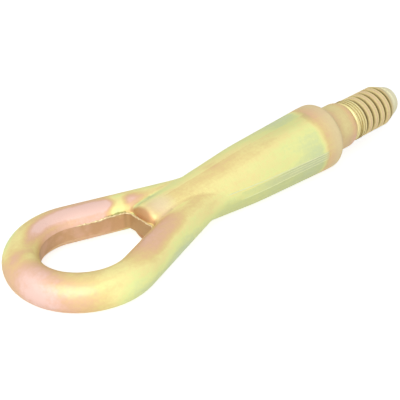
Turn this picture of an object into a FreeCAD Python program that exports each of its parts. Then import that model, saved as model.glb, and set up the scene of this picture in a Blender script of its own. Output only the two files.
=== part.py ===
"""Tow hook: one forged steel piece with an eye, a swelling shank, a shoulder, a neck and a coarse thread.

Frame: the origin is the centre of the shoulder's seat face, +X runs along the thread towards its tip, the
eye lies in the XY plane and +Z is up. All sizes are in millimetres and degrees.
"""
import FreeCAD, Part
import math
import os
import Sketcher

# Each driving dimension: its name in the sheet and its value.
DIMENSIONS = {
    # Eye: a bar bent round a far arc and two side arcs into two straight legs that meet on the axis.
    "shank_length": 61.6,
    "eye_far_radius": 21.2,
    "eye_side_radius": 24.15,
    "eye_joint_angle": 42.2,
    "leg_angle": 19.1,
    "bar_radius": 7.15,
    # Each leg turns nearly parallel to the axis before the legs meet, and runs on into the shank.
    "flare_setback": 18.4,
    "flare_radius": 44.0,
    "run_in_angle": 4.0,
    "run_in_length": 12.0,
    # Shank: a round body that swells from its blunt nose, between the legs, to the shoulder. It tapers
    # faster towards the nose, and its two tapers blend smoothly in front of the legs.
    "nose_reach": 40.1,
    "nose_face_radius": 4.0,
    "nose_rounding": 3.95,
    "taper_change": 14.6,
    "taper_change_radius": 12.63,
    "taper_blend_radius": 160.0,
    "junction_radius": 2.5,
    # Web between the nose and the legs, of which the punch leaves a ledge in the corners.
    "web_half_height": 3.3,
    "web_reach": 9.0,
    "web_root": 10.0,
    # Trimmed wall of the opening: how deep it cuts into the bar, and the ledge it leaves below the nose.
    "bar_trim": 0.55,
    "nose_ledge": 0.5,
    "trim_corner_radius": 2.0,
    # Flat strip that trimming leaves along the parting line on both sides of the shank.
    "parting_depth": 0.12,
    "parting_setback": 2.5,
    "parting_gap": 3.3,
    "parting_clearance": 4.0,
    # Shoulder and neck.
    "land_length": 3.4,
    "shoulder_rounding": 2.8,
    "seat_width": 1.5,
    "neck_radius": 10.0,
    "neck_length": 11.3,
    "neck_end_rounding": 3.8,
    # Thread: crest radius, pitch and groove, and the tapered lead at the tip.
    "thread_radius": 9.0,
    "thread_length": 25.5,
    "thread_pitch": 4.0,
    "relief_depth": 0.4,
    "relief_chamfer": 0.5,
    "groove_depth": 1.6,
    "groove_root_width": 0.9,
    "groove_crest_width": 1.7,
    "groove_clearance": 0.5,
    "groove_setback": 6.9,
    "run_out_turns": 0.44,
    "lead_length": 8.8,
    "tip_rounding": 2.0,
    "tip_face_radius": 4.5,
}

# Sizes and places along the axis that follow from the driving dimensions.
SPREAD = "(dims.eye_side_radius - dims.eye_far_radius)"
JOINT = "(dims.eye_joint_angle * 1 deg)"
LEAN = "(dims.leg_angle * 1 deg)"
SIDE_HEIGHT = f"(dims.eye_side_radius - {SPREAD} * sin({JOINT}) * cos({LEAN}))"
LEG_MEET_X = "(-dims.shank_length)"
FAR_CENTRE_X = f"({LEG_MEET_X} - {SPREAD} * cos({JOINT}) - {SIDE_HEIGHT} / sin({LEAN}))"
EYE_FAR_X = f"({FAR_CENTRE_X} - dims.eye_far_radius)"
FLARE_X = f"({LEG_MEET_X} - dims.flare_setback)"
NOSE_TIP_X = f"({LEG_MEET_X} - dims.nose_reach)"
TAPER_CHANGE_X = f"({LEG_MEET_X} + dims.taper_change)"
TRIM_INSET = "(dims.bar_radius - dims.bar_trim)"
TRIM_END_X = f"({NOSE_TIP_X} - dims.nose_ledge)"
TRIM_CROSSING_X = f"({LEG_MEET_X} - {TRIM_INSET} / sin({LEAN}))"
WEB_FAR_X = f"({TRIM_END_X} - dims.web_reach)"
WEB_ROOT_X = f"({TRIM_END_X} + dims.web_root)"
LAND_RADIUS = "(dims.neck_radius + dims.seat_width + dims.shoulder_rounding)"
LAND_REAR_X = "(-dims.shoulder_rounding - dims.land_length)"
NOSE_CENTRE_X = f"({NOSE_TIP_X} + dims.nose_rounding)"
PARTING_START_X = f"({LEG_MEET_X} + dims.parting_setback)"
PARTING_END_X = f"({LAND_REAR_X} - dims.parting_gap)"
PARTING_OUTER_Y = f"({LAND_RADIUS} + dims.parting_clearance)"
RELIEF_RADIUS = "(dims.thread_radius - dims.relief_depth)"
GROOVE_START_X = "(dims.neck_length + dims.groove_setback)"
LEAD_START_X = "(dims.neck_length + dims.thread_length)"
TIP_X = f"({LEAD_START_X} + dims.lead_length)"
GROOVE_SPREAD = "(dims.groove_crest_width - dims.groove_root_width) / dims.groove_depth"
GROOVE_OUTER_WIDTH = f"(dims.groove_crest_width + {GROOVE_SPREAD} * dims.groove_clearance)"

doc = FreeCAD.newDocument("tow_hook")
sheet = doc.addObject("Spreadsheet::Sheet", "dims")
for row, (alias, value) in enumerate(DIMENSIONS.items(), start=1):
    sheet.set(f"A{row}", alias)
    sheet.set(f"B{row}", str(value))
    sheet.setAlias(f"B{row}", alias)
doc.recompute()

body = doc.addObject("PartDesign::Body", "hook_body")
body.Label = "tow_hook"

ORIGIN_POINT = (-1, 1)
X_AXIS_LINE = -1
UP_AXIS_LINE = -2
START = 1
END = 2
CENTRE = 3


def size(alias):
    """Value of a driving dimension, read from the sheet."""
    return float(sheet.get(alias))


def value_of(expression):
    """Number that an expression over the sheet's cells gives."""
    return float(sheet.evalExpression(expression))


def origin_feature(role):
    """The body's own origin plane or axis with this role."""
    return next(item for item in body.Origin.OriginFeatures if item.Role == role)


def new_sketch(name, plane_role):
    """An empty sketch of the body on one of its origin planes."""
    sketch = body.newObject("Sketcher::SketchObject", name)
    sketch.AttachmentSupport = [(origin_feature(plane_role), "")]
    sketch.MapMode = "FlatFace"
    return sketch


def point(x, y):
    return FreeCAD.Vector(x, y, 0)


def line(sketch, start, end):
    return sketch.addGeometry(Part.LineSegment(point(*start), point(*end)), False)


def arc(sketch, centre, radius, start_angle, end_angle):
    """An arc that runs anticlockwise from one angle to the other, in degrees."""
    circle = Part.Circle(point(*centre), FreeCAD.Vector(0, 0, 1), radius)
    turn = Part.ArcOfCircle(circle, math.radians(start_angle), math.radians(end_angle))
    return sketch.addGeometry(turn, False)


def relate(sketch, kind, *items):
    sketch.addConstraint(Sketcher.Constraint(kind, *items))


def drive(sketch, name, expression, kind, *items):
    """A dimensional constraint bound to an expression over the sheet's cells."""
    index = sketch.addConstraint(Sketcher.Constraint(kind, *items, value_of(expression)))
    sketch.renameConstraint(index, name)
    sketch.setExpression(f"Constraints.{name}", expression)


def lean_line(sketch, name, angle_alias, geometry):
    """Keeps a line falling towards +X by an angle of the sheet."""
    index = sketch.addConstraint(Sketcher.Constraint("Angle", geometry, -math.radians(size(angle_alias))))
    sketch.renameConstraint(index, name)
    sketch.setExpression(f"Constraints.{name}", f"-dims.{angle_alias} * 1 deg")


def place_x(sketch, name, expression, geometry, end):
    drive(sketch, name, expression, "DistanceX", *ORIGIN_POINT, geometry, end)


def place_y(sketch, name, expression, geometry, end):
    drive(sketch, name, expression, "DistanceY", *ORIGIN_POINT, geometry, end)


def set_radius(sketch, name, expression, geometry):
    drive(sketch, name, expression, "Radius", geometry)


def angle_of(centre, target):
    return math.degrees(math.atan2(target[1] - centre[1], target[0] - centre[0]))


def beside(start, distance, angle):
    """The point at this distance from another one, in a direction given in degrees."""
    turn = math.radians(angle)
    return (start[0] + distance * math.cos(turn), start[1] + distance * math.sin(turn))


def nose_taper(depth=0.0):
    """Angle on the nose's rounding where the taper leaves it for the place where the taper changes.

    With a depth, it is the same for a line that lies this far inside the shank's outline.
    """
    nose_centre = (value_of(NOSE_CENTRE_X), size("nose_face_radius"))
    change = (value_of(TAPER_CHANGE_X), size("taper_change_radius") - depth)
    reach = math.hypot(change[0] - nose_centre[0], change[1] - nose_centre[1])
    return angle_of(nose_centre, change) + math.degrees(math.acos((size("nose_rounding") - depth) / reach))


def taper_blend(depth=0.0):
    """Start values of the blend between the tapers, this far inside the shank's outline.

    Gives the place where the tapers would cross, the angles of both tapers, the blend's ends and its
    centre.
    """
    change = (value_of(TAPER_CHANGE_X), size("taper_change_radius") - depth)
    front_angle = nose_taper(depth) - 90
    rear_angle = angle_of(change, (value_of(LAND_REAR_X), value_of(LAND_RADIUS) - depth))
    radius = size("taper_blend_radius") - depth
    reach = radius * math.tan(math.radians((front_angle - rear_angle) / 2))
    front_end = beside(change, -reach, front_angle)
    rear_end = beside(change, reach, rear_angle)
    centre = beside(front_end, -radius, front_angle + 90)
    return change, front_angle, rear_angle, front_end, rear_end, centre


def mirror(feature, name):
    """The same feature on both sides of the plane of symmetry."""
    whole = body.newObject("PartDesign::Mirrored", name)
    whole.Originals = [feature]
    whole.MirrorPlane = (origin_feature("XZ_Plane"), [""])
    body.Tip = whole
    doc.recompute()
    return whole


def build_shank():
    """Nose, shank, shoulder, neck, thread blank and tip, turned about the X axis."""
    sketch = new_sketch("shank_profile", "XZ_Plane")
    nose_round = size("nose_rounding")
    nose_tip = value_of(NOSE_TIP_X)
    nose_centre = (value_of(NOSE_CENTRE_X), size("nose_face_radius"))
    nose_turn = nose_taper()
    change, front_angle, rear_angle, front_end, rear_end, blend_centre = taper_blend()
    land = value_of(LAND_RADIUS)
    rounding = size("shoulder_rounding")
    land_rear = (value_of(LAND_REAR_X), land)
    neck = size("neck_radius")
    step = size("neck_end_rounding")
    crest = size("thread_radius")
    neck_end = size("neck_length")
    relief = value_of(RELIEF_RADIUS)
    step_angle = math.degrees(math.asin((relief - neck + step) / step))
    step_x = neck_end + step * math.cos(math.radians(step_angle))
    crest_start = (step_x + size("relief_chamfer"), crest)
    tip_x = value_of(TIP_X)
    tip_round = size("tip_rounding")
    tip_centre = (tip_x - tip_round, size("tip_face_radius"))
    lead_start = (value_of(LEAD_START_X), crest)
    reach = math.hypot(tip_centre[0] - lead_start[0], tip_centre[1] - lead_start[1])
    lead = -angle_of(lead_start, tip_centre) - math.degrees(math.asin(tip_round / reach))
    lead_top = (tip_centre[0] + tip_round * math.sin(math.radians(lead)),
                tip_centre[1] + tip_round * math.cos(math.radians(lead)))

    nose_face = line(sketch, (nose_tip, 0), (nose_tip, nose_centre[1]))
    nose = arc(sketch, nose_centre, nose_round, nose_turn, 180)
    front = line(sketch, beside(nose_centre, nose_round, nose_turn), front_end)
    blend = arc(sketch, blend_centre, size("taper_blend_radius"), rear_angle + 90, front_angle + 90)
    rear = line(sketch, rear_end, land_rear)
    land_line = line(sketch, land_rear, (-rounding, land))
    shoulder = arc(sketch, (-rounding, land - rounding), rounding, 0, 90)
    seat = line(sketch, (0, land - rounding), (0, neck))
    neck_line = line(sketch, (0, neck), (neck_end, neck))
    neck_step = arc(sketch, (neck_end, neck - step), step, step_angle, 90)
    chamfer = line(sketch, (step_x, relief), crest_start)
    crest_line = line(sketch, crest_start, lead_start)
    lead_line = line(sketch, lead_start, lead_top)
    tip = arc(sketch, tip_centre, tip_round, 0, 90 - lead)
    tip_face = line(sketch, (tip_x, tip_centre[1]), (tip_x, 0))
    axis = line(sketch, (tip_x, 0), (nose_tip, 0))
    mark = sketch.addGeometry(Part.Point(point(*change)), True)

    relate(sketch, "Coincident", axis, END, nose_face, START)
    relate(sketch, "PointOnObject", nose_face, START, X_AXIS_LINE)
    relate(sketch, "Vertical", nose_face)
    relate(sketch, "Tangent", nose_face, END, nose, END)
    relate(sketch, "Tangent", nose, START, front, START)
    relate(sketch, "Tangent", front, END, blend, END)
    relate(sketch, "Tangent", blend, START, rear, START)
    relate(sketch, "PointOnObject", mark, START, front)
    relate(sketch, "PointOnObject", mark, START, rear)
    relate(sketch, "Coincident", rear, END, land_line, START)
    relate(sketch, "Horizontal", land_line)
    relate(sketch, "Tangent", land_line, END, shoulder, END)
    relate(sketch, "Tangent", shoulder, START, seat, START)
    relate(sketch, "PointOnObject", seat, START, UP_AXIS_LINE)
    relate(sketch, "PointOnObject", seat, END, UP_AXIS_LINE)
    relate(sketch, "Coincident", seat, END, neck_line, START)
    relate(sketch, "Horizontal", neck_line)
    relate(sketch, "Tangent", neck_line, END, neck_step, END)
    relate(sketch, "Coincident", neck_step, START, chamfer, START)
    relate(sketch, "Coincident", chamfer, END, crest_line, START)
    relate(sketch, "Horizontal", crest_line)
    relate(sketch, "Coincident", crest_line, END, lead_line, START)
    relate(sketch, "Tangent", lead_line, END, tip, END)
    relate(sketch, "Tangent", tip, START, tip_face, START)
    relate(sketch, "Vertical", tip_face)
    relate(sketch, "Coincident", tip_face, END, axis, START)
    relate(sketch, "PointOnObject", axis, START, X_AXIS_LINE)

    place_x(sketch, "nose_tip", NOSE_TIP_X, nose_face, END)
    place_y(sketch, "nose_flat", "dims.nose_face_radius", nose_face, END)
    set_radius(sketch, "nose_round", "dims.nose_rounding", nose)
    place_x(sketch, "taper_at", TAPER_CHANGE_X, mark, START)
    place_y(sketch, "taper_high", "dims.taper_change_radius", mark, START)
    set_radius(sketch, "taper_blend", "dims.taper_blend_radius", blend)
    place_y(sketch, "land_high", LAND_RADIUS, land_line, START)
    drive(sketch, "land_long", "dims.land_length", "Distance", land_line)
    set_radius(sketch, "shoulder_round", "dims.shoulder_rounding", shoulder)
    place_y(sketch, "neck_high", "dims.neck_radius", neck_line, END)
    place_x(sketch, "neck_long", "dims.neck_length", neck_line, END)
    set_radius(sketch, "step_round", "dims.neck_end_rounding", neck_step)
    place_y(sketch, "relief_high", RELIEF_RADIUS, chamfer, START)
    drive(sketch, "chamfer_long", "dims.relief_chamfer", "DistanceX", chamfer, START, chamfer, END)
    place_y(sketch, "crest_high", "dims.thread_radius", crest_line, END)
    place_x(sketch, "lead_from", LEAD_START_X, crest_line, END)
    place_x(sketch, "tip_at", TIP_X, tip_face, START)
    set_radius(sketch, "tip_round", "dims.tip_rounding", tip)
    place_y(sketch, "tip_flat", "dims.tip_face_radius", tip_face, START)

    turned = body.newObject("PartDesign::Revolution", "shank")
    turned.Profile = sketch
    turned.ReferenceAxis = (sketch, ["H_Axis"])
    turned.Angle = 360
    doc.recompute()
    return turned


def eye_layout(inset):
    """Start values of a line at this distance inside the bar's centreline, on the +Y side.

    Gives the far arc's centre, the angle of its joint with the side arc, the side arc's centre and end
    point.
    """
    far_centre = (value_of(FAR_CENTRE_X), 0.0)
    lean = math.radians(size("leg_angle"))
    joint = math.radians(size("eye_joint_angle"))
    spread = value_of(SPREAD)
    side_centre = (far_centre[0] + spread * math.cos(joint), -spread * math.sin(joint))
    side_radius = size("eye_side_radius") - inset
    leg_start = (side_centre[0] + side_radius * math.sin(lean), side_centre[1] + side_radius * math.cos(lean))
    return far_centre, 180 - size("eye_joint_angle"), side_centre, leg_start


def build_eye():
    """Half of the eye's bar, swept from the far end along one leg into the shank, then mirrored."""
    far_centre, joint, side_centre, leg_start = eye_layout(0.0)
    meet_x = value_of(LEG_MEET_X)
    flare_x = value_of(FLARE_X)
    flare_radius = size("flare_radius")
    lean = math.radians(size("leg_angle"))
    flare_start = (flare_x, (meet_x - flare_x) * math.tan(lean))
    flare_centre = (flare_x + flare_radius * math.sin(lean), flare_start[1] + flare_radius * math.cos(lean))
    run_in = math.radians(size("run_in_angle"))
    flare_end = (flare_centre[0] - flare_radius * math.sin(run_in),
                 flare_centre[1] - flare_radius * math.cos(run_in))
    run_end = (flare_end[0] + size("run_in_length") * math.cos(run_in),
               flare_end[1] - size("run_in_length") * math.sin(run_in))

    path = new_sketch("eye_path", "XY_Plane")
    far = arc(path, far_centre, size("eye_far_radius"), joint, 180)
    side = arc(path, side_centre, size("eye_side_radius"), 90 - size("leg_angle"), joint)
    leg = line(path, leg_start, flare_start)
    flare = arc(path, flare_centre, flare_radius, 270 - size("leg_angle"), 270 - size("run_in_angle"))
    run = line(path, flare_end, run_end)
    mark = path.addGeometry(Part.Point(point(meet_x, 0)), True)
    relate(path, "PointOnObject", far, CENTRE, X_AXIS_LINE)
    relate(path, "PointOnObject", far, END, X_AXIS_LINE)
    relate(path, "Tangent", far, START, side, END)
    relate(path, "Tangent", side, START, leg, START)
    relate(path, "Tangent", leg, END, flare, START)
    relate(path, "Tangent", flare, END, run, START)
    relate(path, "PointOnObject", mark, START, X_AXIS_LINE)
    relate(path, "PointOnObject", mark, START, leg)
    place_x(path, "far_end", EYE_FAR_X, far, END)
    place_x(path, "meet", LEG_MEET_X, mark, START)
    place_x(path, "flare_from", FLARE_X, leg, END)
    set_radius(path, "far_round", "dims.eye_far_radius", far)
    set_radius(path, "side_round", "dims.eye_side_radius", side)
    set_radius(path, "flare_round", "dims.flare_radius", flare)
    lean_line(path, "leg_lean", "leg_angle", leg)
    lean_line(path, "run_lean", "run_in_angle", run)
    drive(path, "run_long", "dims.run_in_length", "Distance", run)

    section = new_sketch("bar_section", "XZ_Plane")
    far_x = value_of(EYE_FAR_X)
    outline = Part.Circle(point(far_x, 0), FreeCAD.Vector(0, 0, 1), size("bar_radius"))
    ring = section.addGeometry(outline, False)
    relate(section, "PointOnObject", ring, CENTRE, X_AXIS_LINE)
    place_x(section, "bar_at", EYE_FAR_X, ring, CENTRE)
    set_radius(section, "bar_round", "dims.bar_radius", ring)

    bar = body.newObject("PartDesign::AdditivePipe", "half_eye")
    bar.Profile = section
    bar.Spine = (path, ["Edge1", "Edge2", "Edge3", "Edge4", "Edge5"])
    doc.recompute()
    return mirror(bar, "eye")


def shank_radius(x):
    """Radius of the nose and of the taper behind it at a place along the axis."""
    nose_centre = (value_of(NOSE_CENTRE_X), size("nose_face_radius"))
    turn = nose_taper()
    leave = beside(nose_centre, size("nose_rounding"), turn)
    if x < leave[0]:
        rise = size("nose_rounding") ** 2 - (x - nose_centre[0]) ** 2
        return nose_centre[1] + math.sqrt(max(rise, 0.0))
    return leave[1] + (x - leave[0]) * math.tan(math.radians(turn - 90))


def junction_edges(shape):
    """Names of the edges where the legs' bars meet the nose and the shank.

    They lie on the shank's surface behind the legs' meeting point, and neither lie in the plane of symmetry
    nor run round the axis.
    """
    near = 0.02
    names = []
    for number, edge in enumerate(shape.Edges, start=1):
        if edge.Degenerated:
            continue
        samples = edge.discretize(9)[1:-1]
        along = [p.x for p in samples]
        on_shank = all(abs(math.hypot(p.y, p.z) - shank_radius(p.x)) < near for p in samples)
        off_middle = max(abs(p.y) for p in samples) > near
        if on_shank and off_middle and max(along) - min(along) > near and min(along) < value_of(LEG_MEET_X):
            names.append(f"Edge{number}")
    return names


def blend_junction(base):
    """Rounded flutes where the legs run into the nose and the shank."""
    blend = body.newObject("PartDesign::Fillet", "junction_blend")
    blend.Base = (base, junction_edges(base.Shape))
    blend.setExpression("Radius", "dims.junction_radius")
    doc.recompute()
    return blend


def fill_web():
    """Flat web that closes the corners between the nose and the legs, half of it padded, then mirrored."""
    lean = math.radians(size("leg_angle"))
    meet_x = value_of(LEG_MEET_X)
    far_x = value_of(WEB_FAR_X)
    root_x = value_of(WEB_ROOT_X)
    far_top = (far_x, (meet_x - far_x) * math.tan(lean))
    root_top = (root_x, (meet_x - root_x) * math.tan(lean))

    sketch = new_sketch("web_outline", "XY_Plane")
    leg = line(sketch, far_top, root_top)
    root = line(sketch, root_top, (root_x, 0))
    axis = line(sketch, (root_x, 0), (far_x, 0))
    far = line(sketch, (far_x, 0), far_top)
    mark = sketch.addGeometry(Part.Point(point(meet_x, 0)), True)
    relate(sketch, "Coincident", leg, END, root, START)
    relate(sketch, "Coincident", root, END, axis, START)
    relate(sketch, "Coincident", axis, END, far, START)
    relate(sketch, "Coincident", far, END, leg, START)
    relate(sketch, "Vertical", root)
    relate(sketch, "Vertical", far)
    relate(sketch, "PointOnObject", axis, START, X_AXIS_LINE)
    relate(sketch, "PointOnObject", axis, END, X_AXIS_LINE)
    relate(sketch, "PointOnObject", mark, START, X_AXIS_LINE)
    relate(sketch, "PointOnObject", mark, START, leg)
    place_x(sketch, "meet", LEG_MEET_X, mark, START)
    place_x(sketch, "web_from", WEB_FAR_X, axis, END)
    place_x(sketch, "web_to", WEB_ROOT_X, axis, START)
    lean_line(sketch, "leg_lean", "leg_angle", leg)

    plate = body.newObject("PartDesign::Pad", "half_web")
    plate.Profile = sketch
    plate.Midplane = True
    plate.setExpression("Length", "2 * dims.web_half_height")
    doc.recompute()
    return mirror(plate, "web")


def trim_opening():
    """Flat wall that the trimming punch leaves round the opening, cut through half of it, then mirrored."""
    inset = value_of(TRIM_INSET)
    corner = size("trim_corner_radius")
    lean = math.radians(size("leg_angle"))
    far_centre, joint, side_centre, leg_start = eye_layout(inset)
    crossing_x = value_of(TRIM_CROSSING_X)
    end_x = value_of(TRIM_END_X)
    corner_x = end_x - corner
    corner_y = (crossing_x - corner_x) * math.tan(lean) - corner / math.cos(lean)
    leg_end = (corner_x + corner * math.sin(lean), corner_y + corner * math.cos(lean))

    sketch = new_sketch("opening_outline", "XY_Plane")
    far = arc(sketch, far_centre, size("eye_far_radius") - inset, joint, 180)
    side = arc(sketch, side_centre, size("eye_side_radius") - inset, 90 - size("leg_angle"), joint)
    leg = line(sketch, leg_start, leg_end)
    bend = arc(sketch, (corner_x, corner_y), corner, 0, 90 - size("leg_angle"))
    wall = line(sketch, (end_x, corner_y), (end_x, 0))
    axis = line(sketch, (end_x, 0), (value_of(EYE_FAR_X) + inset, 0))
    mark = sketch.addGeometry(Part.Point(point(crossing_x, 0)), True)
    relate(sketch, "PointOnObject", far, CENTRE, X_AXIS_LINE)
    relate(sketch, "PointOnObject", far, END, X_AXIS_LINE)
    relate(sketch, "Tangent", far, START, side, END)
    relate(sketch, "Tangent", side, START, leg, START)
    relate(sketch, "Tangent", leg, END, bend, END)
    relate(sketch, "Tangent", bend, START, wall, START)
    relate(sketch, "Vertical", wall)
    relate(sketch, "Coincident", wall, END, axis, START)
    relate(sketch, "PointOnObject", axis, START, X_AXIS_LINE)
    relate(sketch, "Coincident", axis, END, far, END)
    relate(sketch, "PointOnObject", mark, START, X_AXIS_LINE)
    relate(sketch, "PointOnObject", mark, START, leg)
    place_x(sketch, "far_end", f"{EYE_FAR_X} + {TRIM_INSET}", far, END)
    place_x(sketch, "crossing", TRIM_CROSSING_X, mark, START)
    place_x(sketch, "wall_at", TRIM_END_X, wall, END)
    set_radius(sketch, "far_round", f"dims.eye_far_radius - {TRIM_INSET}", far)
    set_radius(sketch, "side_round", f"dims.eye_side_radius - {TRIM_INSET}", side)
    set_radius(sketch, "corner_round", "dims.trim_corner_radius", bend)
    lean_line(sketch, "leg_lean", "leg_angle", leg)

    cut = body.newObject("PartDesign::Pocket", "half_opening")
    cut.Profile = sketch
    cut.Type = "ThroughAll"
    cut.Midplane = True
    doc.recompute()
    return mirror(cut, "opening")


def trim_parting():
    """Flat strip along the parting line of the shank's side, cut on one side, then mirrored."""
    depth = size("parting_depth")
    change, front_angle, rear_angle, front_end, rear_end, blend_centre = taper_blend(depth)
    start_x = value_of(PARTING_START_X)
    end_x = value_of(PARTING_END_X)
    outer = value_of(PARTING_OUTER_Y)
    front_start = (start_x, change[1] + (start_x - change[0]) * math.tan(math.radians(front_angle)))
    rear_stop = (end_x, change[1] + (end_x - change[0]) * math.tan(math.radians(rear_angle)))
    land_rear = (value_of(LAND_REAR_X), value_of(LAND_RADIUS) - depth)
    nose_centre = (value_of(NOSE_CENTRE_X), size("nose_face_radius"))
    nose_round = size("nose_rounding") - depth

    sketch = new_sketch("parting_outline", "XY_Plane")
    front = line(sketch, front_start, front_end)
    blend_radius = size("taper_blend_radius") - depth
    blend = arc(sketch, blend_centre, blend_radius, rear_angle + 90, front_angle + 90)
    rear = line(sketch, rear_end, rear_stop)
    stop = line(sketch, rear_stop, (end_x, outer))
    outside = line(sketch, (end_x, outer), (start_x, outer))
    start = line(sketch, (start_x, outer), front_start)
    nose_circle = Part.Circle(point(*nose_centre), FreeCAD.Vector(0, 0, 1), nose_round)
    nose = sketch.addGeometry(nose_circle, True)
    change_mark = sketch.addGeometry(Part.Point(point(*change)), True)
    land_mark = sketch.addGeometry(Part.Point(point(*land_rear)), True)
    relate(sketch, "Tangent", front, END, blend, END)
    relate(sketch, "Tangent", blend, START, rear, START)
    relate(sketch, "Coincident", rear, END, stop, START)
    relate(sketch, "Coincident", stop, END, outside, START)
    relate(sketch, "Coincident", outside, END, start, START)
    relate(sketch, "Coincident", start, END, front, START)
    relate(sketch, "Vertical", stop)
    relate(sketch, "Vertical", start)
    relate(sketch, "Horizontal", outside)
    relate(sketch, "Tangent", front, nose)
    relate(sketch, "PointOnObject", change_mark, START, front)
    relate(sketch, "PointOnObject", change_mark, START, rear)
    relate(sketch, "PointOnObject", land_mark, START, rear)
    place_x(sketch, "nose_at", NOSE_CENTRE_X, nose, CENTRE)
    place_y(sketch, "nose_flat", "dims.nose_face_radius", nose, CENTRE)
    set_radius(sketch, "nose_round", "dims.nose_rounding - dims.parting_depth", nose)
    place_x(sketch, "change_at", TAPER_CHANGE_X, change_mark, START)
    place_y(sketch, "change_high", "dims.taper_change_radius - dims.parting_depth", change_mark, START)
    set_radius(sketch, "blend_round", "dims.taper_blend_radius - dims.parting_depth", blend)
    place_x(sketch, "land_at", LAND_REAR_X, land_mark, START)
    place_y(sketch, "land_high", f"{LAND_RADIUS} - dims.parting_depth", land_mark, START)
    place_x(sketch, "from", PARTING_START_X, front, START)
    place_x(sketch, "to", PARTING_END_X, rear, END)
    place_y(sketch, "outer", PARTING_OUTER_Y, outside, START)

    cut = body.newObject("PartDesign::Pocket", "parting_strip")
    cut.Profile = sketch
    cut.Type = "ThroughAll"
    cut.Midplane = True
    doc.recompute()
    return mirror(cut, "parting_strips")


def groove_section(name):
    """Sketch of the thread groove below the axis: a trapezium, wider at the crest, that clears the blank."""
    root_z = size("groove_depth") - size("thread_radius")
    outer_z = -size("thread_radius") - size("groove_clearance")
    middle = value_of(GROOVE_START_X)
    root_half = size("groove_root_width") / 2
    outer_half = value_of(GROOVE_OUTER_WIDTH) / 2
    corners = [(middle - root_half, root_z), (middle + root_half, root_z),
               (middle + outer_half, outer_z), (middle - outer_half, outer_z)]
    sketch = new_sketch(name, "XZ_Plane")
    sides = [line(sketch, corners[k], corners[(k + 1) % 4]) for k in range(4)]
    for k in range(4):
        relate(sketch, "Coincident", sides[k], END, sides[(k + 1) % 4], START)
    root, rise, outer, fall = sides
    relate(sketch, "Horizontal", root)
    relate(sketch, "Horizontal", outer)
    relate(sketch, "Equal", rise, fall)
    place_x(sketch, "root_from", f"{GROOVE_START_X} - dims.groove_root_width / 2", root, START)
    place_y(sketch, "root_at", "dims.groove_depth - dims.thread_radius", root, START)
    place_y(sketch, "outer_at", "-dims.thread_radius - dims.groove_clearance", outer, START)
    drive(sketch, "root_wide", "dims.groove_root_width", "Distance", root)
    drive(sketch, "outer_wide", GROOVE_OUTER_WIDTH, "Distance", outer)
    return sketch


def cut_helix(name, mode, expressions, backwards):
    """One right-hand helical cut of the groove about the X axis."""
    cut = body.newObject("PartDesign::SubtractiveHelix", name)
    cut.Profile = groove_section(name + "_section")
    cut.ReferenceAxis = (origin_feature("X_Axis"), [""])
    cut.Mode = mode
    for quantity, expression in expressions.items():
        cut.setExpression(quantity, expression)
    cut.LeftHanded = False
    cut.Reversed = backwards
    doc.recompute()
    return cut


def cut_thread():
    """The groove out past the tip, and its run-out, which rises back to the crest next to the neck."""
    cut_helix("thread_groove", "pitch-height-angle", {
        "Pitch": "dims.thread_pitch",
        "Height": f"{TIP_X} - {GROOVE_START_X} + dims.thread_pitch",
    }, backwards=False)
    rise = "(dims.groove_depth + dims.groove_clearance) / (dims.thread_pitch * dims.run_out_turns)"
    cut_helix("thread_run_out", "pitch-turns-angle", {
        "Pitch": "dims.thread_pitch",
        "Turns": "dims.run_out_turns",
        "Angle": f"atan({rise})",
    }, backwards=True)


def checked(build, *inputs, removes=False):
    """Runs one step and makes sure that it changed the solid the way it should."""
    before = body.Shape.Volume if body.Tip else 0.0
    result = build(*inputs)
    change = body.Shape.Volume - before
    if (change >= 0) == removes:
        raise RuntimeError(f"{build.__name__} changed the volume by {change:.1f}")
    print(f"{build.__name__}: {change:+.1f} mm3")
    return result


checked(build_shank)
eye = checked(build_eye)
checked(blend_junction, eye)
checked(fill_web)
checked(trim_opening, removes=True)
checked(trim_parting, removes=True)
checked(cut_thread, removes=True)

for item in doc.Objects:
    if "Invalid" in item.State or "Error" in item.State:
        raise RuntimeError(f"{item.Name} failed: {item.getStatusString()}")
hook = body.Shape
if hook.isNull() or not hook.isValid() or len(hook.Solids) != 1:
    raise RuntimeError("the hook is not one valid solid")
os.makedirs("parts", exist_ok=True)
hook.exportStep(f"parts/{body.Label}.step")
print(f"{body.Label}: {hook.Volume:.1f} mm3")
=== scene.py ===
"""Tow hook: the look of the forged, yellow-passivated hook on a plain white floor."""
import math
import random

import bpy
from mathutils import Matrix, Vector


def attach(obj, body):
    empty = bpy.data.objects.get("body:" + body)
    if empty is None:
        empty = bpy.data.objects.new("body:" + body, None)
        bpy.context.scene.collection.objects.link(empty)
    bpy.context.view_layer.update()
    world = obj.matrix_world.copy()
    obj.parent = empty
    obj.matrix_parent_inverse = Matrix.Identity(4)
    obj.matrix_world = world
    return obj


MM = 0.001

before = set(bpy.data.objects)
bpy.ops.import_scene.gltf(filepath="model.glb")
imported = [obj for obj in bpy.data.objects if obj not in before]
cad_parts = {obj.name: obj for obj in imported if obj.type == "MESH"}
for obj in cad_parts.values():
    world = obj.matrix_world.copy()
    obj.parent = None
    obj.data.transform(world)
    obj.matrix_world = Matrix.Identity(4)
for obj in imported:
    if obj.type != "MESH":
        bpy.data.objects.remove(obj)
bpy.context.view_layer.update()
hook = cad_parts["tow_hook"]

# Camera of the photograph, in the hook's frame: its place in millimetres and the way it is turned.
CAMERA_PLACE = (-371.6, -309.5, 269.9)
CAMERA_RIGHT = (0.7173, -0.6968, 0.0)
CAMERA_UP = (0.3711, 0.3820, 0.8465)
CAMERA_BACK = (-0.5898, -0.6071, 0.5326)
CAMERA_LENS = 116.9
SENSOR_WIDTH = 36.0
CLIP_START = 0.01

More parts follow.
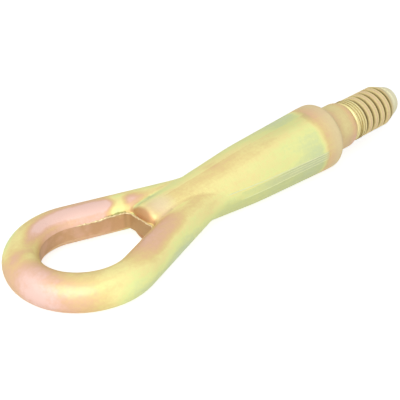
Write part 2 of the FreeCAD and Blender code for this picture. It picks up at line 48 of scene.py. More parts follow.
# Places along the thread axis, in millimetres.
OPENING_MIDDLE_X = -128.0
NOSE_WALL_X = -102.2
NOSE_ROUND_X = -97.7
LEG_MEET_X = -61.6
TAPER_CHANGE_X = -47.0
LAND_REAR_X = -6.2
NECK_END_X = 12.8
GROOVE_START_X = 18.2
THREAD_END_X = 37.0

# Other sizes of the forging, in millimetres and degrees.
LEG_ANGLE = 19.1
WALL_INSET = 6.6
WALL_CORNER_RADIUS = 2.0
WALL_TOP_Z = 3.3
NOSE_RADIUS = 7.95
TAPER_CHANGE_RADIUS = 12.63
LAND_RADIUS = 14.3
PARTING_DEPTH = 0.12
THREAD_RADIUS = 9.0
THREAD_PITCH = 4.0


def srgb(red, green, blue):
    """Linear colour of a colour given as it looks on a screen."""
    def linear(value):
        return value / 12.92 if value <= 0.04045 else ((value + 0.055) / 1.055) ** 2.4
    return (linear(red), linear(green), linear(blue), 1.0)


# Tints over the film: colour, and its share where it is strongest.
TINTS = {
    # Paler thread: painted highlight on the crests.
    "thread": (srgb(0.95, 0.89, 0.73), 0.28),
    # Dark grooves: painted shade.
    "groove": (srgb(0.45, 0.36, 0.20), 0.80),
    "land": (srgb(0.95, 0.89, 0.73), 0.55),
    "neck": (srgb(0.88, 0.81, 0.64), 0.40),
    "tip": (srgb(0.99, 0.98, 0.86), 0.85),
    "strip": (srgb(0.82, 0.84, 0.73), 0.45),
    # Duller faces that look down: painted shade.
    "under": (srgb(0.72, 0.74, 0.50), 0.28),
    # Duller top at the big end: painted shade.
    "painted_top_shade": (srgb(0.72, 0.74, 0.50), 0.30),
    "wall": (srgb(0.83, 0.66, 0.49), 1.00),
    "nose_wall": (srgb(0.74, 0.60, 0.42), 0.85),
    "nose_face": (srgb(0.78, 0.57, 0.40), 0.90),
    # Pale crown of the nose: painted highlight.
    "nose_highlight": (srgb(1.00, 0.94, 0.80), 0.55),
    # Darker creases: painted shade.
    "crease": (srgb(0.62, 0.50, 0.30), 0.40),
    # Dark line above the burr: painted shadow.
    "shadow_line": (srgb(0.52, 0.46, 0.22), 0.70),
}

WHITE = (1.0, 1.0, 1.0, 1.0)

# Places of the two colours among the mix node's inputs, and of the mixed colour among its outputs.
MIX_FIRST = 6
MIX_SECOND = 7
MIX_RESULT = 2


class Graph:
    """The node tree of a material or a world, with short calls for the nodes used here."""

    def __init__(self, owner):
        owner.use_nodes = True
        self.tree = owner.node_tree

    def node(self, kind, **settings):
        made = self.tree.nodes.new(kind)
        for key, value in settings.items():
            setattr(made, key, value)
        return made

    def feed(self, socket, value):
        """Links an output to a socket, or sets the socket to a plain value."""
        if isinstance(value, bpy.types.NodeSocket):
            self.tree.links.new(value, socket)
        else:
            socket.default_value = value

    def feed_in_turn(self, sockets, values):
        for socket, value in zip(sockets, values):
            self.feed(socket, value)

    def feed_by_name(self, sockets, values):
        for name, value in values.items():
            self.feed(sockets[name], value)

    def math(self, operation, *values):
        made = self.node("ShaderNodeMath", operation=operation)
        self.feed_in_turn(made.inputs, values)
        return made.outputs[0]

    def add(self, first, *others):
        for other in others:
            first = self.math("ADD", first, other)
        return first

    def scale(self, first, *others):
        for other in others:
            first = self.math("MULTIPLY", first, other)
        return first

    def absolute(self, value):
        return self.math("ABSOLUTE", value)

    def limit(self, value, low, high):
        return self.math("MINIMUM", self.math("MAXIMUM", value, low), high)

    def vector(self, operation, *values):
        made = self.node("ShaderNodeVectorMath", operation=operation)
        self.feed_in_turn(made.inputs, values)
        return made

    def lengthen(self, value, factor):
        """A vector times a number."""
        made = self.vector("SCALE", value)
        self.feed(made.inputs["Scale"], factor)
        return made.outputs[0]

    def distance(self, first, second):
        return self.vector("DISTANCE", first, second).outputs["Value"]

    def from_line(self, place, start, end):
        """Distance from the straight stretch between two points."""
        start = Vector(start)
        stretch = Vector(end) - start
        offset = self.vector("SUBTRACT", place, start).outputs[0]
        share = self.vector("DOT_PRODUCT", offset, stretch / stretch.length_squared).outputs["Value"]
        nearest = self.lengthen(tuple(stretch), self.limit(share, 0.0, 1.0))
        return self.distance(offset, nearest)

    def separate(self, value):
        made = self.node("ShaderNodeSeparateXYZ")
        self.feed(made.inputs[0], value)
        return made.outputs

    def smooth(self, value, low, high, to_low=0.0, to_high=1.0):
        """Soft step from one level to another, between two values."""
        made = self.node("ShaderNodeMapRange", interpolation_type="SMOOTHSTEP")
        self.feed_by_name(made.inputs, {"Value": value, "From Min": low, "From Max": high,
                                        "To Min": to_low, "To Max": to_high})
        return made.outputs["Result"]

    def around(self, value, middle, reach):
        """1 where a value is at the middle, falling to 0 at this reach on both sides."""
        return self.smooth(self.absolute(self.add(value, -middle)), reach, 0.0)

    def ramp(self, value, stops):
        """Colour or level at a value from 0 to 1, between stops in rising order."""
        made = self.node("ShaderNodeValToRGB")
        elements = made.color_ramp.elements
        for place, _ in stops[2:]:
            elements.new(place)
        for element, (place, colour) in zip(elements, stops):
            element.position = place
            element.color = colour if isinstance(colour, tuple) else (colour, colour, colour, 1.0)
        self.feed(made.inputs["Fac"], value)
        return made.outputs["Color"]

    def levels(self, value, stops):
        """Level at a value, between the levels given at some values in rising order."""
        low = stops[0][0]
        high = stops[-1][0]
        base = min(level for _, level in stops)
        spread = max(level for _, level in stops) - base
        share = self.node("ShaderNodeMapRange")
        self.feed_by_name(share.inputs, {"Value": value, "From Min": low, "From Max": high})
        shares = [((at - low) / (high - low), (level - base) / spread) for at, level in stops]
        return self.add(self.scale(self.ramp(share.outputs["Result"], shares), spread), base)

    def noise(self, place, scale, detail, rough):
        made = self.node("ShaderNodeTexNoise")
        self.feed_by_name(made.inputs, {"Vector": place, "Scale": scale,
                                        "Detail": detail, "Roughness": rough})
        return made.outputs["Fac"]

    def swing(self, place, scale, detail, rough, size):
        """Noise that swings about 0, by half of the size each way at most."""
        return self.scale(self.add(self.noise(place, scale, detail, rough), -0.5), size)

    def mix(self, factor, first, second):
        made = self.node("ShaderNodeMix", data_type="RGBA")
        self.feed(made.inputs["Factor"], factor)
        self.feed(made.inputs[MIX_FIRST], first)
        self.feed(made.inputs[MIX_SECOND], second)
        return made.outputs[MIX_RESULT]

    def tint(self, colour, name, *shares):
        """Mixes a tint into a colour, in full where all the shares are 1."""
        tint_colour, strength = TINTS[name]
        return self.mix(self.scale(*shares, strength), colour, tint_colour)

    def seen(self):
        """1 on rays that come from the camera, straight or mirrored or through glass."""
        path = self.node("ShaderNodeLightPath").outputs
        turned = self.math("MAXIMUM", path["Is Glossy Ray"], path["Is Transmission Ray"])
        return self.math("MAXIMUM", path["Is Camera Ray"], turned)


# Colours of the passivated film, from thin to thick.
FILM = [
    (0.00, srgb(0.87, 0.92, 0.79)),
    (0.15, srgb(0.89, 0.93, 0.70)),
    (0.32, srgb(0.97, 0.98, 0.67)),
    (0.46, srgb(1.00, 0.95, 0.66)),
    (0.60, srgb(0.96, 0.87, 0.60)),
    (0.72, srgb(0.95, 0.81, 0.60)),
    (0.84, srgb(0.94, 0.77, 0.63)),
    (0.93, srgb(0.96, 0.79, 0.71)),
    (1.00, srgb(0.98, 0.83, 0.78)),
]

# Film along the axis: place in millimetres, and the thickness there.
FILM_ALONG = [
    (-160, 0.74), (-148, 0.60), (-131, 0.53), (-113, 0.62), (-100, 0.54), (-88, 0.44),
    (-70, 0.46), (-48, 0.45), (-30, 0.36), (-14.0, 0.32), (-10.0, 0.68), (-1.0, 0.64),
    (1.5, 0.70), (5.5, 0.52), (8.5, 0.54), (11.5, 0.74), (13.5, 0.70), (14.5, 0.44),
    (18.5, 0.44), (21.0, 0.56), (36.0, 0.56), (42.0, 0.48), (45.6, 0.44),
]

# Film round the shank: degrees from its near side up over its top, and the change there.
FILM_ROUND = [
    (-180, 0.00), (-120, -0.06), (-60, -0.22), (-15, -0.18), (2, -0.12), (22, -0.02),
    (46, -0.01), (58, 0.06), (72, 0.14), (84, 0.12), (97, -0.02), (110, -0.13),
    (132, -0.16), (160, -0.08), (180, 0.00),
]

# Patches where the film is thicker or thinner: middle and radius in millimetres, and the change there.
FILM_PATCHES = [
    ("far_leg_pink", (-117, 14, 6), 24, 0.20),
    ("far_leg_lime_top", (-102, 13, 6.5), 5, -0.42),
    ("far_leg_lime", (-104, 10, 5.5), 5, -0.40),
    ("far_leg_lime_low", (-107, 8.6, 4), 4.5, -0.36),
    ("far_end_orange", (-137, 15.5, 5), 13, 0.14),
    ("far_end_lime", (-148.5, 17, 6), 17, -0.36),
    ("eye_end_pink", (-156, -1, 6), 14, 0.12),
    ("far_end_tan", (-151, 9, 6), 9, -0.10),
    # Pinker film at the bottom of the eye's end, partly its own colour and partly a painted highlight.
    ("eye_bottom_mauve_and_highlight", (-158, -11, 2), 17, 0.30),
    ("eye_near_yellow", (-132, -26, 6), 19, -0.06),
    ("eye_near_tan", (-148, -25, -3), 24, 0.37),
    ("eye_near_gold", (-130, -26, -4), 15, 0.24),
    ("near_leg_mint", (-95, -19, -3), 24, -0.06),
    ("shoulder_peach", (-9, -1, 14), 9, 0.14),
    # Tanner film at the crease between the nose and the near leg: painted shade.
    ("near_crease_shade", (-98, -9, 5), 12, 0.05),
    ("near_leg_tan", (-118, -15, 6), 19, 0.12),
    ("big_end_olive", (-22, 0, 13.5), 14, -0.10),
    ("shank_mint", (-17, -13, 4), 13, -0.10),
    ("waist_tan", (-62, 3, 11), 12, 0.08),
    # Pinker film on the nose's near shoulder, partly its own colour and partly a painted highlight.
    ("nose_pink_and_highlight", (-96, -3.5, 7.5), 7, 0.16),
    ("nose_far_teal", (-90, 6, 6), 8, -0.10),
    ("neck_pink_top", (3, -3, 10), 8, 0.14),
    ("neck_pink_low", (8, -9, -4), 9, 0.22),
]

# Noise in the film: scale per millimetre, detail, roughness, and the size of its swing.
FILM_DRIFT = (0.030, 2.0, 0.5, 0.20)
FILM_CLOUD = (0.16, 2.0, 0.5, 0.11)
FILM_STREAKS = (0.45, 3.0, 0.6, 0.20)
FILM_MOTTLING = (0.8, 3.0, 0.6, 0.16)

# Noise that makes a patch's edge ragged. The size of its swing is a share of the patch's radius.
PATCH_RAGGED = (0.09, 2.0, 0.5, 0.5)

# Streaks are drawn out along the axis.
STREAK_DRAW = (0.25, 1.0, 1.0)

# From here on, a pair of values says where a share is 0 and where it has risen to 1. A name that ends in
# X, Y or Z is a place in millimetres, and one that ends in FACE_X, FACE_Y or FACE_Z is part of a normal.
EYE_X = (-86.0, -100.0)
SHANK_X = (-9.5, -13.0)
OPENING_X = (NOSE_WALL_X + 1.2, NOSE_WALL_X)
OPENING_INWARD = (0.0, -2.0)

# Thicker film on the eye's crown, beside the nose and on the far half or the legs.
CROWN_CHANGE = 0.36
CROWN_FACE_Z = (0.6, 1.0)
CROWN_BESIDE_Y = (5.0, 9.5)
CROWN_FAR_Y = (-5.0, 5.0)
CROWN_LEGS_X = (-142.0, -102.0)

# Thinner film down the eye's flanks: the change grows from the first way of facing to the second.
FLANK_CHANGE = 0.35
FLANK_TOP_FACE_Z = 0.6
FLANK_LOW_FACE_Z = -0.3
FLANK_X = (-158.0, -128.0)

# Thicker film towards the far side, for each millimetre.
FAR_SIDE_CHANGE = 0.007

# Thinner film on the outside of the far leg.
FAR_OUTSIDE_CHANGE = -0.44
FAR_OUTSIDE_FACE_Y = (-0.32, 0.20)
FAR_OUTSIDE_FACE_Z = (-0.2, 0.2)
FAR_OUTSIDE_Y = (0.0, 6.0)
FAR_OUTSIDE_X = (-158.0, -138.0)

# Thicker film on the side of the eye's bar that faces into the opening.
INNER_CHANGE = 0.34
INNER_FACE_Z = (0.75, 0.1)

# Painted highlight along the middle of the thread's crest, as thicker film: place and reach are shares of
# a turn.
CREST_HIGHLIGHT_CHANGE = 0.26
CREST_PHASE = 0.5
CREST_REACH = 0.16
CREST_X = (19.0, 22.0)

# Whole turns that keep the count of turns above zero all along the hook.
SPARE_TURNS = 10.0


def opening_side(g, place, normal):
    """1 on the sides of the eye's bar that face into the opening."""
    x, y, _ = g.separate(place)
    face_x, face_y, _ = g.separate(normal)
    inward = g.add(g.scale(face_x, g.add(x, -OPENING_MIDDLE_X)), g.scale(face_y, y))
    return g.scale(g.smooth(inward, *OPENING_INWARD), g.smooth(x, *OPENING_X))


def thread_phase(g, place):
    """Share of a turn of the thread: 0 in the groove, 0.5 on the middle of the crest."""
    x, y, z = g.separate(place)
    turn = g.scale(g.math("ARCTAN2", y, g.scale(z, -1.0)), -1 / math.tau)
    along = g.scale(x, 1 / THREAD_PITCH)
    return g.math("FRACT", g.add(along, turn, SPARE_TURNS - GROOVE_START_X / THREAD_PITCH))


def eye_film(g, place, normal):
    """Change of the film on the eye."""
    x, y, _ = g.separate(place)
    _, face_y, face_z = g.separate(normal)
    far_or_leg = g.math("MAXIMUM", g.smooth(y, *CROWN_FAR_Y), g.smooth(x, *CROWN_LEGS_X))
    beside_nose = g.smooth(g.absolute(y), *CROWN_BESIDE_Y)
    crown = g.scale(g.smooth(face_z, *CROWN_FACE_Z), beside_nose, far_or_leg, CROWN_CHANGE)
    below_top = g.add(g.limit(face_z, FLANK_LOW_FACE_Z, FLANK_TOP_FACE_Z), -FLANK_TOP_FACE_Z)
    flank = g.scale(below_top, g.smooth(x, *FLANK_X), FLANK_CHANGE)
    far_side = g.scale(y, FAR_SIDE_CHANGE)
    faces_out = g.scale(g.smooth(face_y, *FAR_OUTSIDE_FACE_Y), g.smooth(face_z, *FAR_OUTSIDE_FACE_Z))
    far_outside = g.scale(faces_out, g.smooth(y, *FAR_OUTSIDE_Y), g.smooth(x, *FAR_OUTSIDE_X),
                          FAR_OUTSIDE_CHANGE)
    inner = g.scale(opening_side(g, place, normal), g.smooth(face_z, *INNER_FACE_Z), INNER_CHANGE)
    return g.scale(g.add(crown, flank, far_side, far_outside, inner), g.smooth(x, *EYE_X))


def shank_film(g, place, normal):
    """Change of the film round the shank."""
    x, _, _ = g.separate(place)
    _, face_y, face_z = g.separate(normal)
    on_shank = g.scale(g.smooth(x, *SHANK_X), g.math("SUBTRACT", 1.0, g.smooth(x, *EYE_X)))
    turn = g.math("DEGREES", g.math("ARCTAN2", face_z, g.scale(face_y, -1.0)))
    return g.scale(g.levels(turn, FILM_ROUND), on_shank)


def crest_highlight(g, place):
    """Change of the film on the thread's crest, a painted highlight along its middle."""
    x, _, _ = g.separate(place)
    on_crest = g.around(thread_phase(g, place), CREST_PHASE, CREST_REACH)
    return g.scale(on_crest, g.smooth(x, *CREST_X), CREST_HIGHLIGHT_CHANGE)


def film_thickness(g, place, normal):
    """Thickness of the film: levels along and round the hook, noise, and patches."""
    x, _, _ = g.separate(place)
    film = g.add(g.levels(x, FILM_ALONG), crest_highlight(g, place),
                 eye_film(g, place, normal), shank_film(g, place, normal))
    drawn_out = g.vector("MULTIPLY", place, STREAK_DRAW).outputs[0]
    film = g.add(film, g.swing(place, *FILM_DRIFT), g.swing(place, *FILM_CLOUD),
                 g.swing(drawn_out, *FILM_STREAKS), g.swing(place, *FILM_MOTTLING))
    ragged = g.swing(place, *PATCH_RAGGED)
    for _, middle, reach, change in FILM_PATCHES:
        distance = g.add(g.distance(place, middle), g.scale(ragged, reach))
        film = g.add(film, g.smooth(distance, reach, 0.0, 0.0, change))
    return film


# Where the tints of the thread's end lie.
THREAD_X = (NECK_END_X, NECK_END_X + 1.0)
BEFORE_TIP_X = (THREAD_END_X + 3.0, THREAD_END_X)
GROOVE_SHADE_RADIUS = (8.95, 7.9)
LAND_X = (LAND_REAR_X - 5.0, LAND_REAR_X + 3.0)
BEFORE_SEAT_X = (0.5, -0.5)
NECK_X = (-0.5, 0.5)
BEFORE_THREAD_X = (NECK_END_X - 1.0, NECK_END_X - 4.0)
TIP_X = (THREAD_END_X, THREAD_END_X + 4.0)


def tint_thread(g, colour, place):
    """Paler thread as painted highlight on the crests, painted shade in the grooves, and paler land, neck
    and worn tip.
    """
    x, y, z = g.separate(place)
    radius = g.math("SQRT", g.add(g.scale(y, y), g.scale(z, z)))
    on_thread = g.scale(g.smooth(x, *THREAD_X), g.smooth(x, *BEFORE_TIP_X))
    # Painted highlight on the crests.
    colour = g.tint(colour, "thread", on_thread)
    # Painted shade in the grooves.
    colour = g.tint(colour, "groove", on_thread, g.smooth(radius, *GROOVE_SHADE_RADIUS))
    colour = g.tint(colour, "land", g.smooth(x, *LAND_X), g.smooth(x, *BEFORE_SEAT_X))
    colour = g.tint(colour, "neck", g.smooth(x, *NECK_X), g.smooth(x, *BEFORE_THREAD_X))
    return g.tint(colour, "tip", g.smooth(x, *TIP_X))


# Where the tints of the shank lie.
BEHIND_LEGS_X = (LEG_MEET_X - 16.0, LEG_MEET_X)
BEFORE_LAND_X = (LAND_REAR_X - 3.0, LAND_REAR_X - 5.0)
STRIP_X = (-60.0, -30.0)
STRIP_Z = (2.4, 1.2)
UNDERSIDE_SHADE_FACE_Z = (0.30, -0.25)
TOP_SHADE_X = (-55.0, -25.0)
TOP_SHADE_FACE_Z = (0.4, 0.8)
TOP_FACE_Y_MIDDLE = -0.05
TOP_FACE_Y_REACH = 0.45


def tint_shank(g, colour, place, normal):
    """Greyer parting strip, and duller colour as painted shade on the side below it and on the top at the
    big end.
    """
    x, _, z = g.separate(place)
    _, face_y, face_z = g.separate(normal)
    on_shank = g.scale(g.smooth(x, *BEHIND_LEGS_X), g.smooth(x, *BEFORE_LAND_X))
    on_strip = g.scale(g.smooth(g.absolute(z), *STRIP_Z), g.smooth(x, *STRIP_X))
    colour = g.tint(colour, "strip", on_strip, on_shank)
    # Painted shade on the faces that look down.
    colour = g.tint(colour, "under", g.smooth(face_z, *UNDERSIDE_SHADE_FACE_Z), on_shank)
    # Painted shade on the top at the big end.
    shaded_top = g.scale(g.around(face_y, TOP_FACE_Y_MIDDLE, TOP_FACE_Y_REACH), g.smooth(face_z, *TOP_SHADE_FACE_Z))
    return g.tint(colour, "painted_top_shade", shaded_top, g.smooth(x, *TOP_SHADE_X), on_shank)


# Where the tints of the opening's wall and the nose's end face lie.
WALL_FACE_Z = (0.40, 0.08)
NOSE_END_X = (-104.5, -103.0)
NOSE_END_Y = (10.0, 7.0)
NOSE_FACE_FACE_X = (-0.30, -0.75)
NOSE_FACE_REAR_X = (NOSE_WALL_X - 0.6, NOSE_WALL_X)
NOSE_FACE_FRONT_X = (-97.0, -99.0)
NOSE_FACE_Y = (9.0, 6.5)
ABOVE_WALL_Z = (WALL_TOP_Z - 0.1, WALL_TOP_Z + 0.5)

# Mottling of the wall: its noise (scale per millimetre, detail, roughness), and the soft step over it.
WALL_NOISE = (0.20, 3.0, 0.5)
WALL_STEP = (0.30, 0.60, 0.55, 0.95)


def tint_opening(g, colour, place, normal):
    """Browner trimmed wall of the opening, browner still at the nose, and the nose's end face above it."""
    x, y, z = g.separate(place)
    face_x, _, face_z = g.separate(normal)
    beside = g.absolute(y)
    wall = g.scale(g.smooth(g.absolute(face_z), *WALL_FACE_Z), opening_side(g, place, normal))
    colour = g.tint(colour, "wall", wall, g.smooth(g.noise(place, *WALL_NOISE), *WALL_STEP))
    colour = g.tint(colour, "nose_wall", wall, g.smooth(x, *NOSE_END_X), g.smooth(beside, *NOSE_END_Y))
    along_face = g.scale(g.smooth(x, *NOSE_FACE_REAR_X), g.smooth(x, *NOSE_FACE_FRONT_X))
    across_face = g.scale(g.smooth(beside, *NOSE_FACE_Y), g.smooth(g.absolute(z), *ABOVE_WALL_Z))
    faces_opening = g.smooth(face_x, *NOSE_FACE_FACE_X)
    return g.tint(colour, "nose_face", faces_opening, along_face, across_face)


# Painted highlight, a pale patch on the crown of the nose: middle, and the distances over which it fades.
NOSE_HIGHLIGHT = (-94.0, -2.5, 7.8)
NOSE_HIGHLIGHT_FADE = (8.0, 1.0)

# Painted shade in the creases between the nose and a leg: ends of each stretch on the +Y side, which the
# other side mirrors.
SHADED_CREASES = [
    ((-101.6, 7.4, 3.4), (-97.0, 6.8, 4.6)),
    ((-97.0, 6.8, 4.6), (-92.0, 6.3, 5.7)),
]
CREASE_SHADE_FADE = (1.3, 0.2)

# Painted shadow line on the far leg, above the burr: its ends, and the noise that it wavers by.
SHADOW_LINE = ((-110.5, 10.3, 3.5), (-103.0, 7.8, 3.6))
SHADOW_LINE_WAVER = (0.45, 3.0, 0.5, 1.6)
SHADOW_LINE_FADE = (0.55, 0.10)
SHADOW_LINE_REACH = (1.6, 1.1)
SHADOW_LINE_Z = (2.9, 3.3)


def tint_nose(g, colour, place):
    """Paler crown of the nose as painted highlight, darker creases beside it as painted shade, and a dark
    painted shadow line on the far leg above the burr.
    """
    x, y, z = g.separate(place)
    # Painted highlight on the crown of the nose.
    colour = g.tint(colour, "nose_highlight", g.smooth(g.distance(place, NOSE_HIGHLIGHT), *NOSE_HIGHLIGHT_FADE))
    mirrored = g.node("ShaderNodeCombineXYZ")
    g.feed_in_turn(mirrored.inputs, (x, g.absolute(y), z))
    for start, end in SHADED_CREASES:
        from_crease = g.from_line(mirrored.outputs[0], start, end)
        # Painted shade along each crease.
        colour = g.tint(colour, "crease", g.smooth(from_crease, *CREASE_SHADE_FADE))
    # Painted shadow line above the burr.
    from_shadow_line = g.from_line(place, *SHADOW_LINE)
    wavering = g.absolute(g.add(from_shadow_line, g.swing(place, *SHADOW_LINE_WAVER)))
    in_reach = g.scale(g.smooth(from_shadow_line, *SHADOW_LINE_REACH), g.smooth(z, *SHADOW_LINE_Z))
    return g.tint(colour, "shadow_line", g.smooth(wavering, *SHADOW_LINE_FADE), in_reach)


METALLIC = 0.30
SPECULAR = 0.5
EDGE_TINT = srgb(0.90, 0.87, 0.72)

# Forging skin: noise of its broad waves and fine grain, as scale per millimetre, detail and roughness.
SKIN_WAVES = (0.22, 2.0, 0.5)
SKIN_GRAIN = (0.75, 4.0, 0.6)

# What the waves and the grain add to the height and to the gloss.
WAVES_HEIGHT = 0.60
GRAIN_HEIGHT = 0.42
BUMP_STRENGTH = 0.6
BUMP_DISTANCE = 0.5 * MM
ROUGHNESS = 0.33
WAVES_ROUGHNESS = 0.12
GRAIN_ROUGHNESS = 0.18
RIDGE_ROUGHNESS = 0.38


def plated_steel():
    """Yellow-passivated zinc on a forging: a film whose colour drifts, over a slightly rough skin."""
    material = bpy.data.materials.new("plated_steel")
    g = Graph(material)
    coordinates = g.node("ShaderNodeTexCoord").outputs
    normal = coordinates["Normal"]
    place = g.lengthen(coordinates["Object"], 1 / MM)
    colour = g.ramp(film_thickness(g, place, normal), FILM)
    colour = tint_thread(g, colour, place)
    colour = tint_shank(g, colour, place, normal)
    colour = tint_opening(g, colour, place, normal)
    colour = tint_nose(g, colour, place)

    waves = g.noise(place, *SKIN_WAVES)
    grain = g.noise(place, *SKIN_GRAIN)
    height = g.add(g.scale(waves, WAVES_HEIGHT), g.scale(grain, GRAIN_HEIGHT))
    roughness = g.add(g.scale(grain, GRAIN_ROUGHNESS), g.scale(waves, WAVES_ROUGHNESS), ROUGHNESS)
    bump = g.node("ShaderNodeBump")
    g.feed_by_name(bump.inputs, {"Strength": BUMP_STRENGTH, "Distance": BUMP_DISTANCE, "Height": height})
    g.feed_by_name(g.tree.nodes["Principled BSDF"].inputs, {
        "Base Color": colour,
        "Metallic": METALLIC,
        "Specular IOR Level": SPECULAR,
        "Specular Tint": EDGE_TINT,
        "Roughness": roughness,
        "Normal": bump.outputs[0],
    })
    return material


def plain_steel(name, colour):
    """Plated steel of one colour, for thin ridges."""
    material = bpy.data.materials.new(name)
    g = Graph(material)
    g.feed_by_name(g.tree.nodes["Principled BSDF"].inputs, {
        "Base Color": colour,
        "Metallic": METALLIC,
        "Roughness": RIDGE_ROUGHNESS,
    })
    return material


def dress_hook():
    """Gives the forging its plated steel."""
    hook.data.materials.clear()
    hook.data.materials.append(plated_steel())


# Ridges are closed tubes: the sides of a tube, and the spacing of its rings in millimetres.
RIDGE_SIDES = 6
RIDGE_STEP = 0.45

# Rings over which a ridge tapers at each end, and its share of the thickness at the very end.
TAPER_RINGS = 4
END_SHARE = 0.15

# Share of a ring's size that it takes over from the ring before it, and the most a ring is shifted,
# as a share of the thickness times the unevenness.
SIZE_KEPT = 0.6
MOST_SHIFT = 0.5

# Burr along the trimmed wall's upper edge: half thickness, unevenness and seed.
BURR_COLOUR = srgb(0.95, 0.87, 0.68)
BURR_THICKNESS = 0.36
BURR_UNEVEN = 0.9
BURR_SEED = 11

# Burr on the far leg: distances from the nose's wall in millimetres, and shares of the wall's height.
BURR_ON_LEG = ((20.0, 0.83), (11.0, 0.83), (8.5, 1.0))
CORNER_STEPS = 4

# Lines of flash along the parting strip: ends (x, z) and half thickness, in millimetres.
FLASH_LINES = [
    ((-66.0, 3.0), (-10.2, 1.5), 0.22),
    ((-40.0, 1.0), (-10.2, 0.5), 0.11),
    ((-34.0, -0.2), (-10.2, -0.6), 0.09),
    ((-58.0, -1.7), (-10.2, -1.7), 0.12),
]
# Pale colour of the flash lines: painted highlight along them.
FLASH_HIGHLIGHT_COLOUR = srgb(0.96, 0.97, 0.78)
FLASH_UNEVEN = 0.4
FLASH_SEED = 20
FLASH_STEPS = 8

# Faint turns where the thread runs out next to the neck: where each starts along the axis, in
# millimetres, and the share of a turn that each goes round.
RUN_OUT_TURNS = (13.3, 14.7, 16.1)
RUN_OUT_SHARE = 0.9
RUN_OUT_STEPS = 40
RUN_OUT_RADIUS = THREAD_RADIUS + 0.03
RUN_OUT_COLOUR = srgb(0.72, 0.62, 0.38)
RUN_OUT_THICKNESS = 0.19
RUN_OUT_UNEVEN = 0.03
RUN_OUT_SEED = 51


def even_points(path, step):
    """Points at an even distance along a path of straight stretches."""
    points = [path[0]]
    for start, end in zip(path, path[1:]):
        count = max(round((end - start).length / step), 1)
        points += [start.lerp(end, k / count) for k in range(1, count + 1)]
    return points


def tube_faces(rings):
    """Faces of a closed tube, whose corners are listed ring by ring."""
    faces = []
    for k in range(rings - 1):
        here = k * RIDGE_SIDES
        ahead = here + RIDGE_SIDES
        for side in range(RIDGE_SIDES):
            after = (side + 1) % RIDGE_SIDES
            faces.append((here + side, here + after, ahead + after, ahead + side))
    last = (rings - 1) * RIDGE_SIDES
    faces.append(tuple(reversed(range(RIDGE_SIDES))))
    faces.append(tuple(range(last, last + RIDGE_SIDES)))
    return faces


def ridge(name, path, thickness, uneven, material, seed):
    """A thin uneven ridge along a path in millimetres."""
    chance = random.Random(seed)
    points = even_points(path, RIDGE_STEP)
    last = len(points) - 1
    corners = []
    size = 1.0
    for k, middle in enumerate(points):
        ahead = points[min(k + 1, last)] - points[max(k - 1, 0)]
        across = ahead.cross(Vector((0.0, 0.0, 1.0))).normalized()
        up = across.cross(ahead).normalized()
        size = SIZE_KEPT * size + (1.0 - SIZE_KEPT) * chance.uniform(1.0 - uneven, 1.0 + uneven)
        taper = min(k, last - k, TAPER_RINGS) / TAPER_RINGS
        reach = thickness * size * max(taper, END_SHARE)
        shift = up * thickness * uneven * chance.uniform(-MOST_SHIFT, MOST_SHIFT)
        for side in range(RIDGE_SIDES):
            turn = math.tau * side / RIDGE_SIDES
            outward = across * math.cos(turn) + up * math.sin(turn)
            corners.append((middle + shift + outward * reach) * MM)
    mesh = bpy.data.meshes.new(name)
    mesh.from_pydata(corners, [], tube_faces(len(points)))
    mesh.shade_smooth()
    mesh.materials.append(material)
    piece = bpy.data.objects.new(name, mesh)
    bpy.context.scene.collection.objects.link(piece)
    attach(piece, "root")


def wall_edge():
    """Path along the trimmed wall's upper edge, from the far leg along the nose to the near corner."""
    lean = math.radians(LEG_ANGLE)
    crossing_x = LEG_MEET_X - WALL_INSET / math.sin(lean)
    corner_x = NOSE_WALL_X - WALL_CORNER_RADIUS
    corner_y = (crossing_x - corner_x) * math.tan(lean) - WALL_CORNER_RADIUS / math.cos(lean)
    far_leg = []
    for distance, drop in BURR_ON_LEG:
        x = NOSE_WALL_X - distance
        far_leg.append(Vector((x, (crossing_x - x) * math.tan(lean), WALL_TOP_Z * drop)))
    far_corner = []
    for k in range(CORNER_STEPS + 1):
        turn = (math.pi / 2 - lean) * (1.0 - k / CORNER_STEPS)
        far_corner.append(Vector((corner_x + WALL_CORNER_RADIUS * math.cos(turn),
                                  corner_y + WALL_CORNER_RADIUS * math.sin(turn), WALL_TOP_Z)))
    near_corner = [Vector((corner.x, -corner.y, corner.z)) for corner in reversed(far_corner)]
    return far_leg + far_corner + near_corner


def shank_outline(x):
    """Radius of the shank at a place along the axis."""
    if x < TAPER_CHANGE_X:
        share = (x - NOSE_ROUND_X) / (TAPER_CHANGE_X - NOSE_ROUND_X)
        return NOSE_RADIUS + share * (TAPER_CHANGE_RADIUS - NOSE_RADIUS)
    share = (x - TAPER_CHANGE_X) / (LAND_REAR_X - TAPER_CHANGE_X)
    return TAPER_CHANGE_RADIUS + share * (LAND_RADIUS - TAPER_CHANGE_RADIUS)


def parting_line(start, end, side):
    """Path along the parting strip, between two places (x, z), on the +Y or -Y side of the shank."""
    path = []
    for k in range(FLASH_STEPS + 1):
        x, z = Vector(start).lerp(Vector(end), k / FLASH_STEPS)
        radius = shank_outline(x)
        y = min(math.sqrt(radius ** 2 - z ** 2), radius - PARTING_DEPTH)
        path.append(Vector((x, side * y, z)))
    return path


def run_out_turn(start_x):
    """Path of most of one turn round the thread, starting at the bottom."""
    path = []
    for k in range(RUN_OUT_STEPS + 1):
        share = RUN_OUT_SHARE * k / RUN_OUT_STEPS
        turn = math.tau * share
        path.append(Vector((start_x + THREAD_PITCH * share, RUN_OUT_RADIUS * math.sin(turn),
                            -RUN_OUT_RADIUS * math.cos(turn))))
    return path


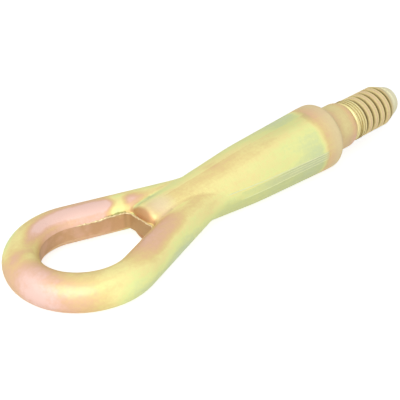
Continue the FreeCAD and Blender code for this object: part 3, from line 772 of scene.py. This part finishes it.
def add_ridges():
    """Burr on the trimmed wall's upper edge, flash along the parting strips and faint thread turns."""
    burr = plain_steel("burr_steel", BURR_COLOUR)
    # Flash lines in a pale colour, a painted highlight along them.
    flash = plain_steel("flash_steel", FLASH_HIGHLIGHT_COLOUR)
    turns = plain_steel("run_out_steel", RUN_OUT_COLOUR)
    for number, start_x in enumerate(RUN_OUT_TURNS):
        path = run_out_turn(start_x)
        ridge(f"run_out_{number}", path, RUN_OUT_THICKNESS, RUN_OUT_UNEVEN, turns, RUN_OUT_SEED + number)
    ridge("burr", wall_edge(), BURR_THICKNESS, BURR_UNEVEN, burr, BURR_SEED)
    for side, word in ((-1, "near"), (1, "far")):
        for number, (start, end, thickness) in enumerate(FLASH_LINES):
            path = parting_line(start, end, side)
            ridge(f"flash_{word}_{number}", path, thickness, FLASH_UNEVEN, flash, FLASH_SEED + number)


# The hook rests on the end of its eye and on its belly: limits of both along the axis, in millimetres.
EYE_REST_X = -130.0
BELLY_X = -90.0

# Floor: width and gap under the hook in metres, grey of its diffuse colour, and glow that the camera sees.
FLOOR_WIDTH = 6.0
FLOOR_GAP = 0.0001
FLOOR_GREY = (0.60, 0.60, 0.60, 1.0)
FLOOR_GLOW = 0.75


def floor_plane():
    """Lowest point of the eye's end, and the fall along X of the plane from there to the belly."""
    corners = [vertex.co for vertex in hook.data.vertices]
    eye = min((corner for corner in corners if corner.x < EYE_REST_X * MM), key=lambda corner: corner.z)
    belly = [corner for corner in corners if corner.x > BELLY_X * MM]
    fall = max((eye.z - corner.z) / (corner.x - eye.x) for corner in belly)
    return eye, fall


def lay_floor():
    """White floor under the hook, which shows its shadow."""
    eye, fall = floor_plane()
    bpy.ops.mesh.primitive_plane_add(size=FLOOR_WIDTH)
    floor = bpy.context.object
    floor.name = "floor"
    floor.rotation_euler = (0.0, math.atan(fall), 0.0)
    floor.location = (eye.x, 0.0, eye.z - FLOOR_GAP)
    material = bpy.data.materials.new("floor_white")
    g = Graph(material)
    nodes = g.tree.nodes
    nodes.remove(nodes["Principled BSDF"])
    diffuse = g.node("ShaderNodeBsdfDiffuse")
    diffuse.inputs["Color"].default_value = FLOOR_GREY
    glow = g.node("ShaderNodeEmission")
    g.feed(glow.inputs["Strength"], g.scale(g.seen(), FLOOR_GLOW))
    both = g.node("ShaderNodeAddShader")
    g.feed_in_turn(both.inputs, (diffuse.outputs[0], glow.outputs[0]))
    g.feed(nodes["Material Output"].inputs["Surface"], both.outputs[0])
    floor.data.materials.append(material)


# Strength of the world's light, next to 1 for what the camera sees of it.
WORLD_LIGHT = 0.28

# One large lamp: place, point that it faces, and width in metres, and power in watts.
LAMP_PLACE = (-0.75, -0.50, 0.70)
LAMP_TARGET = (-0.07, 0.0, 0.0)
LAMP_WIDTH = 1.0
LAMP_POWER = 10.2


def light_world():
    """Even light from all round, and a white backdrop for the camera."""
    world = bpy.data.worlds.new("studio")
    bpy.context.scene.world = world
    g = Graph(world)
    background = g.tree.nodes["Background"].inputs
    background["Color"].default_value = WHITE
    g.feed(background["Strength"], g.smooth(g.seen(), 0.0, 1.0, WORLD_LIGHT, 1.0))


def light_hook():
    """The lamp, behind the camera and a little above and to the left of it."""
    light = bpy.data.lights.new("key_lamp", "AREA")
    light.shape = "DISK"
    light.size = LAMP_WIDTH
    light.energy = LAMP_POWER
    lamp = bpy.data.objects.new("key_lamp", light)
    bpy.context.scene.collection.objects.link(lamp)
    lamp.location = LAMP_PLACE
    away = Vector(LAMP_PLACE) - Vector(LAMP_TARGET)
    lamp.rotation_euler = away.to_track_quat("Z", "Y").to_euler()


def place_camera():
    """Camera that sees the hook as the photograph does."""
    lens = bpy.data.cameras.new("photo_camera")
    lens.lens = CAMERA_LENS
    lens.sensor_width = SENSOR_WIDTH
    lens.clip_start = CLIP_START
    camera = bpy.data.objects.new("photo_camera", lens)
    bpy.context.scene.collection.objects.link(camera)
    turn = Matrix((CAMERA_RIGHT, CAMERA_UP, CAMERA_BACK)).transposed()
    camera.matrix_world = Matrix.Translation(Vector(CAMERA_PLACE) * MM) @ turn.to_4x4()
    bpy.context.scene.camera = camera


dress_hook()
add_ridges()
lay_floor()
light_world()
light_hook()
place_camera()
bpy.context.scene.view_settings.view_transform = "Standard"
